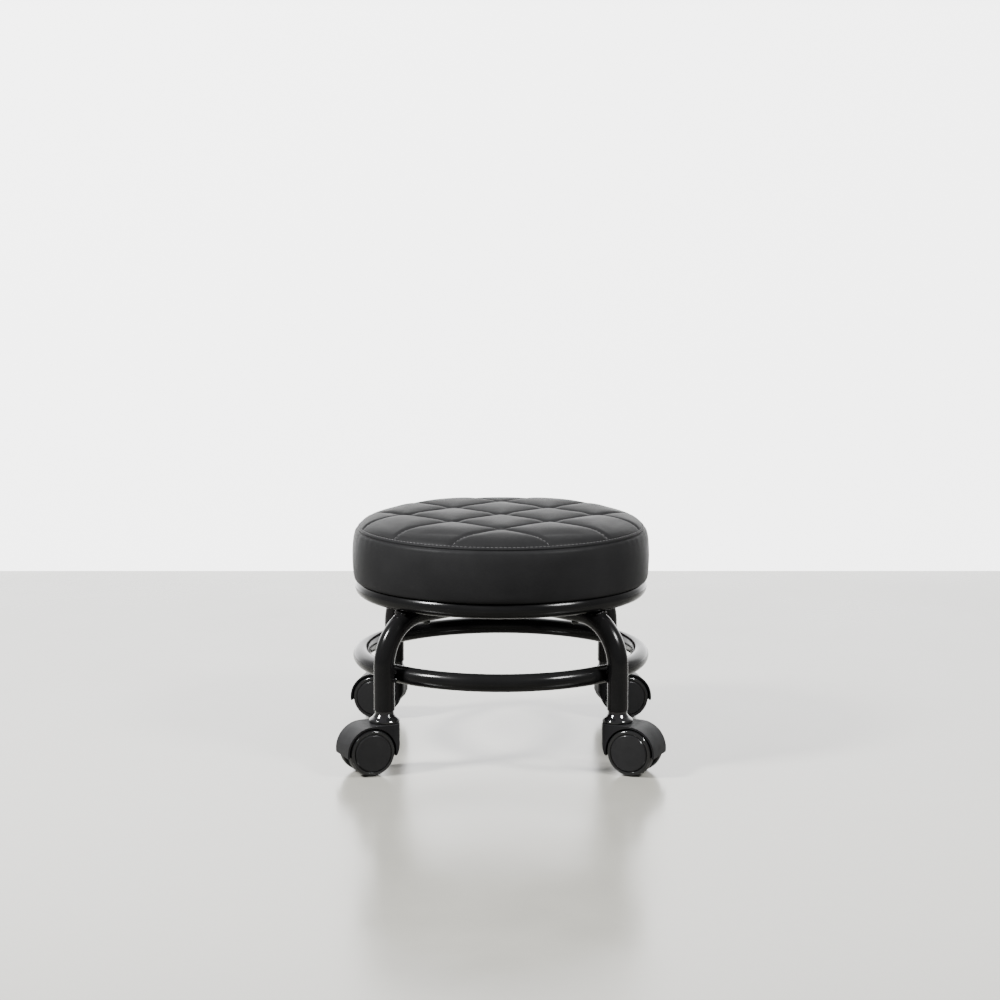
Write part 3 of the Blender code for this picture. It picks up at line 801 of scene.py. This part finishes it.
def quilt_lift(x, y):
    """How far quilting lifts the top panel above its section: puffs, stitch dimples and creases."""
    radius = np.hypot(x, y)
    first, second = lattice(x, y)
    axis, grid = cloth_puffs()
    rise = np.maximum(sampled(axis, grid, first, second), 0)
    puff = PUFF_CAP * np.tanh(rise * PUFF_GAIN / PUFF_CAP)
    distance, along = line_distance(x, y)
    dimple = DIMPLE_DEPTH * np.cos(2 * math.pi * along / STITCH_PITCH) * np.exp(-distance / DIMPLE_WIDTH)
    crease = CREASE_DEPTH * np.exp(-((distance / CREASE_WIDTH) ** 2))
    crease = crease * (1 - smooth_step(radius, *CREASE_FADE))
    return (puff + dimple) * (1 - smooth_step(radius, *PUFF_FADE)) - crease


def seam_lift(way, angle):
    """How far the edge seam, its top stitches, the band's puckers and the hem's pleats lift the cover."""
    hole = np.where(np.arange(COLUMNS) % 2 == 0, 1.0, -1.0)[None]
    lift = -1.25 * MM * bump_at(way, 0, 0.85 * MM)
    lift = lift - 0.5 * MM * bump_at(way, -SEAM_TO_TOPSTITCH, 0.8 * MM)
    lift = lift + 0.35 * MM * bump_at(way, -SEAM_TO_TOPSTITCH / 2, 1.6 * MM)
    lift = lift + 0.10 * MM * hole * bump_at(way, -SEAM_TO_TOPSTITCH, 1.6 * MM)
    lift = lift + 0.30 * MM * bump_at(way, PUCKER_PLACE, 2.4 * MM)
    pucker = wavy(angle, (37, 53, 71, 89), 0.22 * MM)[None]
    below_seam = smooth_step(way, 0, PUCKER_PLACE)
    lift = lift + pucker * np.exp(-np.abs(way - PUCKER_PLACE) / (7 * MM)) * below_seam
    sway = wavy(angle, (3, 5, 8, 13), 0.7 * MM)[None]
    on_band = smooth_step(way, 4 * MM, 20 * MM) * (1 - smooth_step(way, 44 * MM, 52 * MM))
    pleats = wavy(angle, (61, 83, 97), 0.5 * MM)[None]
    on_hem = smooth_step(way, 70 * MM, 74 * MM)
    return lift + sway * on_band + np.minimum(pleats, 0) * on_hem


def cushion_points():
    """The cover's points, row by row from the middle of the top to the inner edge of the hem."""
    rows, way = skin_rows()
    way = way[:, None]
    angle = 2 * math.pi * np.arange(COLUMNS) / COLUMNS
    tangent = np.gradient(rows, axis=0)
    tangent /= np.linalg.norm(tangent, axis=1)[:, None]
    radius, height = rows[:, :1], rows[:, 1:]
    quilting = quilt_lift(radius * np.cos(angle), radius * np.sin(angle))
    lift = np.where(way < 0, quilting, 0) + seam_lift(way, angle)
    return turned(radius - lift * tangent[:, 1:], angle, height + lift * tangent[:, :1])


def make_cushion():
    """The whole upholstered cushion as one closed piece: the cover, its hem and its inner side."""
    angle = 2 * math.pi * np.arange(COLUMNS) / COLUMNS
    skin = cushion_points()
    inside = [turned(r * MM, angle, h * MM) for r, h in SKIN_INSIDE]
    top = [0, 0, skin[:COLUMNS, 2].mean()]
    roof = [0, 0, SKIN_INSIDE[-1][1] * MM]
    points = np.concatenate([skin, *inside, [top, roof]])
    row_count = len(points) // COLUMNS
    middle = row_count * COLUMNS
    faces = row_faces(row_count, COLUMNS)
    last = middle - COLUMNS
    for k in range(COLUMNS):
        n = (k + 1) % COLUMNS
        faces.append((middle, k, n))
        faces.append((middle + 1, last + n, last + k))
    cushion = mesh_object("seat_cushion", points, faces, looks["leatherette"])
    nodes = ("cover_top_panel", "cover_side_band", "quilt_wadding", "seat_foam")
    finish(cushion, "frame", "leatherette", *nodes)
    return cushion


def topstitch_spans():
    """The stitches on the top panel, just inside the edge seam."""
    rows, way = skin_rows()
    row = int(np.argmin(np.abs(way + SEAM_TO_TOPSTITCH)))
    (r0, z0), (r1, z1) = rows[row - 1], rows[row + 1]
    up_out = Vector((z0 - z1, r1 - r0)).normalized()
    r, z = Vector(rows[row]) - up_out * TOPSTITCH_SINK
    pitch = 2 * math.pi / STITCH_COUNT
    spans = []
    for k in range(STITCH_COUNT):
        a, b = (k - STITCH_HALF) * pitch, (k + STITCH_HALF) * pitch
        start = Vector((r * math.cos(a), r * math.sin(a), z))
        end = Vector((r * math.cos(b), r * math.sin(b), z))
        up = Vector((up_out.x * math.cos(k * pitch), up_out.x * math.sin(k * pitch), up_out.y))
        spans.append((start, end, up))
    return spans


def quilt_spans(cushion):
    """The stitches along every quilt line, laid on the cushion's surface."""
    surface = BVHTree.FromObject(cushion, bpy.context.evaluated_depsgraph_get())
    most = math.ceil(SHEET_RADIUS / STITCH_PITCH)
    spans = []
    for family in (1, -1):
        direction = Vector((QUILT_HALF_X, family * QUILT_HALF_Y, 0)).normalized()
        across = Vector((QUILT_HALF_X, -family * QUILT_HALF_Y, 0))
        for line in QUILT_LINES:
            foot = across * (line / 2)
            for k in range(-most, most + 1):
                centre = foot + direction * (k * STITCH_PITCH)
                if centre.length > CREASE_FADE[0]:
                    continue
                ends = []
                for share in (-QUILT_STITCH_HALF, QUILT_STITCH_HALF):
                    above = centre + direction * (share * STITCH_PITCH) + UP * SKY
                    hit, normal, _, _ = surface.ray_cast(above, -UP)
                    ends.append(hit)
                spans.append((ends[0], ends[1], normal))
    return spans


def make_stitches(cushion):
    top = stitches_object("edge_topstitch", topstitch_spans(), TOP_THREAD_RADIUS, looks["thread"])
    finish(top, "frame", "leatherette")
    quilt = stitches_object("quilt_stitches", quilt_spans(cushion), QUILT_THREAD_RADIUS, looks["thread"])
    finish(quilt, "frame", "leatherette")


def make_dust_cover():
    """The cloth under the board, stretched and stapled, and a little slack between its staples."""
    _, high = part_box("dust_cover")
    radius = high.x
    rings, columns = 46, 180
    angle = 2 * math.pi * np.arange(columns) / columns
    r = np.linspace(radius, 3 * MM, rings)[:, None]
    slack = 0.22 * MM * np.cos(STAPLE_COUNT * angle)[None] * smooth_step(r, 110 * MM, radius)
    height = high.z - DUST_CLOTH_THICKNESS - 0.2 * MM + slack
    points = turned(r, angle, height)
    points = np.concatenate([points, [[0, 0, points[-columns:, 2].mean()]]])
    faces = row_faces(rings, columns)
    middle = rings * columns
    last = middle - columns
    faces += [(last + k, middle, last + (k + 1) % columns) for k in range(columns)]
    cloth = mesh_object("dust_cover_cloth", points, faces, looks["dust_cloth"])
    shell = cloth.modifiers.new("Thickness", "SOLIDIFY")
    shell.thickness = DUST_CLOTH_THICKNESS
    baked(cloth)
    finish(cloth, "frame", "dust_cloth", "dust_cover")


def make_staples():
    """The crowns of the wire staples round the dust cloth's edge."""
    low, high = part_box("dust_cover")
    depth, length, height = STAPLE_HALF
    centre = Vector((high.x - STAPLE_INSET, 0, low.z - 0.3 * MM))
    block = [Vector((u * depth, t * length, v * height)) for t in (-1, 1) for u, v in SQUARE]
    points, faces = [], []
    for k in range(STAPLE_COUNT):
        turn = Matrix.Rotation(2 * math.pi * (k + 0.5) / STAPLE_COUNT, 3, "Z")
        first = len(points)
        points += [turn @ (centre + corner) for corner in block]
        faces += [[first + i for i in face] for face in BOX_FACES]
    staples = mesh_object("cover_staples", points, faces, looks["zinc_steel"], smooth=False)
    bevel = staples.modifiers.new("Edges", "BEVEL")
    bevel.width = STAPLE_EDGE
    bevel.segments = 2
    finish(staples, "frame", "zinc_steel")


# Frame


def make_ring(name):
    """A ring tube with a vent hole below its back. Returns its centre circle's radius and height."""
    low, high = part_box(name)
    height = (low.z + high.z) / 2
    circle = high.x - RING_RADIUS
    steps = 2 * math.pi * np.arange(TUBE_SIDES) / TUBE_SIDES
    profile = [(circle + RING_RADIUS * math.cos(a), height - RING_RADIUS * math.sin(a)) for a in steps]
    ring = revolved(f"{name}_tube", profile, RING_SEGMENTS, looks["gloss_tube"])
    ring.modifiers.clear()
    drill = [(0, 3 * MM), (VENT_RADIUS, 3 * MM), (VENT_RADIUS, -3 * MM), (0, -3 * MM)]
    vent = revolved("vent", drill, 24, looks["gloss_tube"])
    vent.modifiers.clear()
    vent.location = (0, circle, height - RING_RADIUS)
    carve(ring, [vent])
    finish(ring, "frame", "gloss_tube", name)
    return circle, height


def leg_line(corner, foot, cross_height, inner_end):
    """A leg's centre-line, from its foot up round the bend and in to a distance from the seat's axis."""
    outwards = diagonal(corner)
    points = [outwards * LEG_CIRCLE + UP * foot]
    for i in range(BEND_STEPS + 1):
        angle = math.pi / 2 * i / BEND_STEPS
        across = LEG_CIRCLE - BEND_RADIUS + BEND_RADIUS * math.cos(angle)
        height = cross_height - BEND_RADIUS + BEND_RADIUS * math.sin(angle)
        points.append(outwards * across + UP * height)
    points.append(outwards * inner_end + UP * cross_height)
    return points


def bead(name, path, radius, cyclic):
    """A weld bead along a path, swelling and shrinking with each ripple."""
    swell = [1 + RIPPLE * math.sin(RIPPLE_STEP * k) for k in range(len(path))]
    if not cyclic:
        swell[0] = swell[-1] = BEAD_TAPER
    weld = tube(name, path, radius, looks["gloss_tube"], cyclic, BEAD_SIDES, swell)
    finish(weld, "frame", "gloss_tube")


def contact_beads(name, leg_centre, leg_axis, towards):
    """Two beads where a ring touches a leg, one on each side of the ring, part of the way round the leg."""
    for side in (-1, 1):
        path = []
        for k in range(-BEAD_STEPS, BEAD_STEPS + 1):
            turn = Matrix.Rotation(BEAD_REACH * k / BEAD_STEPS, 4, leg_axis)
            spoke = (turn @ towards) * (LEG_RADIUS + 0.4 * MM)
            lean = (1 - abs(k) / BEAD_STEPS * 0.25) * 5.6 * MM
            path.append(leg_centre + leg_axis * side * lean + spoke)
        bead(f"{name}_{'upper' if side > 0 else 'lower'}_weld", path, CONTACT_BEAD_RADIUS, False)


def cross_bead(corner, centre, along):
    """The bead round the end of a half tube, where it meets the full tube that runs along."""
    outwards = diagonal(corner)
    path = []
    for k in range(CROSS_BEAD_STEPS):
        angle = 2 * math.pi * k / CROSS_BEAD_STEPS
        reach = math.sqrt((LEG_RADIUS + 0.5 * MM) ** 2 - (LEG_RADIUS * math.sin(angle)) ** 2)
        spoke = along * math.cos(angle) + UP * math.sin(angle)
        path.append(centre + outwards * reach + spoke * LEG_RADIUS)
    bead(f"{corner}_cross_weld", path, CROSS_BEAD_RADIUS, True)


def make_legs(upper_ring, lower_ring):
    """The full tube over two corners, the two half tubes, and the beads. Each ring is (circle, height)."""
    low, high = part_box("through_leg_tube")
    foot, cross_height = low.z, high.z - LEG_RADIUS
    through = leg_line("front_left", foot, cross_height, 0)[:-1]
    through += leg_line("back_right", foot, cross_height, 0)[-2::-1]
    leg = tube("through_leg", through, LEG_RADIUS, looks["gloss_tube"])
    finish(leg, "frame", "gloss_tube", "through_leg_tube")
    for corner in ("front_right", "back_left"):
        line = leg_line(corner, foot, cross_height, 2 * MM)
        leg = tube(f"{corner}_leg", line, LEG_RADIUS, looks["gloss_tube"])
        finish(leg, "frame", "gloss_tube", f"{corner}_leg_tube")
        cross_bead(corner, UP * cross_height, diagonal("front_left"))
    for corner in CORNERS:
        outwards = diagonal(corner)
        leg_at_ring = outwards * LEG_CIRCLE + UP * lower_ring[1]
        contact_beads(f"{corner}_foot_ring", leg_at_ring, UP, -outwards)
        bend_centre = outwards * (LEG_CIRCLE - BEND_RADIUS) + UP * (cross_height - BEND_RADIUS)
        ring_centre = outwards * upper_ring[0] + UP * upper_ring[1]
        towards = (ring_centre - bend_centre).normalized()
        leg_axis = towards.cross(outwards.cross(UP)).normalized()
        contact_beads(f"{corner}_seat_ring", bend_centre + towards * BEND_RADIUS, leg_axis, towards)


def make_seat_bolt(corner):
    """A pan head with a hex socket, and its shank."""
    low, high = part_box(f"{corner}_seat_bolt")
    head = (high.x - low.x) / 2
    under_head = low.z + BOLT_HEAD_HEIGHT
    corners = [
        (0, high.z, 0),
        (BOLT_RADIUS, high.z, 0),
        (BOLT_RADIUS, under_head, 0),
        (head, under_head, 0.3 * MM),
        (head * 0.93, low.z + 0.3 * MM, 0.9 * MM),
        (0, low.z, 0),
    ]
    bolt = revolved(f"{corner}_bolt", rounded(corners), 40, looks["black_bolt"])
    bolt.modifiers.clear()
    socket = arc((0, 0), SOCKET_RADIUS, 0, 2 * math.pi, 6)[:-1]
    carve(bolt, [prism("socket", socket, low.z - 1 * MM, low.z + SOCKET_DEPTH, looks["black_bolt"])])
    bolt.data.set_sharp_from_angle(angle=math.radians(35))
    bolt.location = diagonal(corner) * BOLT_CIRCLE
    finish(bolt, "frame", "black_bolt", f"{corner}_seat_bolt")


def make_spacer(corner, cross_height):
    """A plastic bush whose foot sits over the leg tube."""
    low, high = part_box(f"{corner}_seat_spacer")
    r = (high.x - low.x) / 2
    corners = [(BUSH_BORE, high.z, 0), (r, high.z, 0.7 * MM), (r, low.z, 0.4 * MM), (BUSH_BORE, low.z, 0)]
    spacer = revolved(f"{corner}_spacer", rounded(corners), 48, looks["sleeve_plastic"])
    spacer.modifiers.clear()
    outwards = diagonal(corner)
    spacer.location = outwards * BOLT_CIRCLE
    reach = 30 * MM
    saddle = tube("saddle", [Vector(), UP * 2 * reach], LEG_RADIUS + 0.1 * MM, looks["sleeve_plastic"])
    start = outwards * (BOLT_CIRCLE - reach) + UP * cross_height
    turn = outwards.to_track_quat("Z", "Y").to_matrix().to_4x4()
    saddle.matrix_world = Matrix.Translation(start) @ turn
    carve(spacer, [saddle])
    spacer.data.set_sharp_from_angle(angle=math.radians(40))
    finish(spacer, "frame", "sleeve_plastic", f"{corner}_seat_spacer")


# Casters


def make_collar(corner):
    low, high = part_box(f"{corner}_leg_collar")
    profile = rounded(
        [
            (10.0 * MM, high.z, 0.4 * MM),
            (10.1 * MM, high.z - 3.4 * MM, 2.0 * MM),
            (12.2 * MM, low.z + 5.9 * MM, 3.0 * MM),
            (15.5 * MM, low.z + 3.4 * MM, 0.9 * MM),
            (16.2 * MM, low.z + 2.2 * MM, 0.7 * MM),
            (16.2 * MM, low.z, 0.4 * MM),
            (6.0 * MM, low.z, 0),
            (6.0 * MM, high.z, 0),
        ]
    )
    matrix = Matrix.Translation(diagonal(corner) * LEG_CIRCLE)
    collar = revolved(f"{corner}_collar", profile, COLLAR_SEGMENTS, looks["gloss_plastic"], matrix)
    finish(collar, "frame", "gloss_plastic", f"{corner}_leg_collar")


def hood_mesh():
    """The hood about a stem on the origin: the arc over both wheels, the stem's block and the web."""
    material = looks["nylon"]
    width = HOOD_HALF_WIDTH
    fender = arc((AXLE_OFFSET, WHEEL_RADIUS), HOOD_RADIUS, math.radians(-8), math.pi / 2, 40)
    under = [(-13, 31, 3), (-8, 21, 4), (6, 14, 5), (20, 12, 8), (34, 14, 5)]
    lip = (fender[0][0] - 2 * MM, fender[0][1], 0)
    corners = [(-13 * MM, 53 * MM, 0)] + [(u * MM, z * MM, f * MM) for u, z, f in under] + [lip]
    outline = fender + rounded([(*fender[-1], 0)] + corners + [(*fender[0], 0)])[1:-1]
    hood = prism("hood", outline, -width, width, material)
    hood.data.transform(Matrix.Rotation(math.pi / 2, 4, "X"))
    plan_corner = arc((-3.5 * MM, BLOCK_ROUND), BLOCK_ROUND, math.pi / 2, math.pi, 14)
    plan = [(60 * MM, -width), (60 * MM, width)] + plan_corner + [(u, -v) for u, v in plan_corner[::-1]]
    carve(hood, [prism("plan", plan, -10 * MM, 90 * MM, material)], "INTERSECT")
    wells = []
    for side in (-1, 1):
        well = arc((AXLE_OFFSET, 0), WELL_RADIUS, 0, 2 * math.pi, WHEEL_SEGMENTS)[:-1]
        cutter = prism("well", well, WEB_HALF, 40 * MM, material)
        cutter.data.transform(Matrix.Rotation(side * -math.pi / 2, 4, "X"))
        cutter.data.transform(Matrix.Translation((0, 0, WHEEL_RADIUS)))
        wells.append(cutter)
    carve(hood, wells)
    bevel = hood.modifiers.new("Edges", "BEVEL")
    bevel.width = HOOD_EDGE
    bevel.segments = 3
    bevel.limit_method = "ANGLE"
    bevel.angle_limit = math.radians(35)
    baked(hood)
    hood.data.shade_smooth()
    hood.modifiers.new("Even shading", "WEIGHTED_NORMAL")
    baked(hood)
    mesh = hood.data
    bpy.data.objects.remove(hood)
    return mesh


def wheel_profile():
    return mm_points(
        (20.9, 19.8, 0.3),
        (23.4, 19.7, 1.6),
        (24.8, 17.0, 1.6),
        (25.0, 15.6, 1.2),
        (25.0, 9.6, 1.5),
        (24.2, 7.6, 0.6),
        (3.3, 7.6, 0),
        (3.3, 18.4, 0),
        (20.5, 18.4, 0),
        (20.5, 19.6, 0.2),
    )


def cap_profile():
    return mm_points(
        (0, 21.1, 0),
        (8.0, 21.05, 12.0),
        (18.9, 20.7, 1.0),
        (20.2, 19.1, 0.5),
        (20.2, 18.7, 0),
        (0, 18.7, 0),
    )


def make_casters():
    shared = hood_mesh()
    trail = {j["child"]: Vector(j["pos_m"]) for j in frame["joints"]}
    for corner in CORNERS:
        stem = trail[f"{corner}_caster"]
        left, right = (trail[f"{corner}_{side}_wheel"] for side in ("left", "right"))
        axle = (left + right) / 2
        heading = math.atan2(axle.y - stem.y, axle.x - stem.x)
        swivel = Matrix.Translation((stem.x, stem.y, 0)) @ Matrix.Rotation(heading, 4, "Z")
        hood = bpy.data.objects.new(f"{corner}_hood", shared)
        bpy.context.scene.collection.objects.link(hood)
        hood.matrix_world = swivel
        finish(hood, f"{corner}_caster", "nylon", f"{corner}_caster_hood")
        to_axle = swivel @ Matrix.Translation((AXLE_OFFSET, 0, WHEEL_RADIUS))
        for side, way in (("left", -1), ("right", 1)):
            matrix = to_axle @ Matrix.Rotation(way * math.pi / 2, 4, "X")
            body = f"{corner}_{side}_wheel"
            wheel = revolved(f"{body}_rim", wheel_profile(), WHEEL_SEGMENTS, looks["wheel_plastic"], matrix)
            finish(wheel, body, "wheel_plastic", body)
            cap = revolved(f"{body}_disc", cap_profile(), WHEEL_SEGMENTS, looks["cap_plastic"], matrix)
            finish(cap, body, "cap_plastic", f"{body}_cap")
        make_collar(corner)


def dress_cad_nodes():
    """Better materials for the CAD nodes that stay: the pieces inside."""
    slots = {s["node"]: s["material_slot"] for s in frame["record"]["subparts"]}
    for name, obj in frame["nodes"].items():
        if obj.hide_render:
            continue
        obj.data.materials.clear()
        obj.data.materials.append(looks[slots[name]])


# Studio


def plane(name, corners, material):
    obj = mesh_object(name, corners, [(0, 1, 2, 3)], material, smooth=False)
    return obj


def softbox(name, place, size, energy):
    light = bpy.data.lights.new(name, "AREA")
    light.shape = "RECTANGLE"
    light.size, light.size_y = size
    light.energy = energy
    obj = bpy.data.objects.new(name, light)
    obj.location = place
    obj.rotation_euler = (Vector(LIGHT_TARGET) - Vector(place)).to_track_quat("-Z", "Y").to_euler()
    bpy.context.scene.collection.objects.link(obj)


def make_studio():
    half, back, top = STAGE_HALF, WALL_PLACE, WALL_HEIGHT
    plane("floor", [(-half, -half, 0), (half, -half, 0), (half, half, 0), (-half, half, 0)], floor_material())
    plane("wall", [(-half, back, 0), (half, back, 0), (half, back, top), (-half, back, top)], wall_material())
    softbox("key_softbox", **KEY_LIGHT)
    softbox("fill_softbox", **FILL_LIGHT)
    world = bpy.data.worlds.new("studio_air")
    world.use_nodes = True
    air = world.node_tree.nodes["Background"]
    air.inputs["Color"].default_value = (1, 1, 1, 1)
    air.inputs["Strength"].default_value = AIR_GLOW
    bpy.context.scene.world = world


def make_camera():
    """The eye is 0.66 m up and 2.6 m in front of the seat, looking 8.4 degrees down."""
    camera = bpy.data.cameras.new("camera")
    camera.sensor_width = SENSOR
    camera.lens = LENS
    obj = bpy.data.objects.new("camera", camera)
    obj.location = EYE
    obj.rotation_euler = (math.radians(90) - EYE_DIP, 0, 0)
    bpy.context.scene.collection.objects.link(obj)
    bpy.context.scene.camera = obj


seat_cushion = make_cushion()
make_stitches(seat_cushion)
make_dust_cover()
make_staples()
upper = make_ring("upper_ring")
lower = make_ring("lower_ring")
make_legs(upper, lower)
for corner_name in CORNERS:
    make_seat_bolt(corner_name)
    make_spacer(corner_name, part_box("through_leg_tube")[1].z - LEG_RADIUS)
make_casters()
dress_cad_nodes()
make_studio()
make_camera()
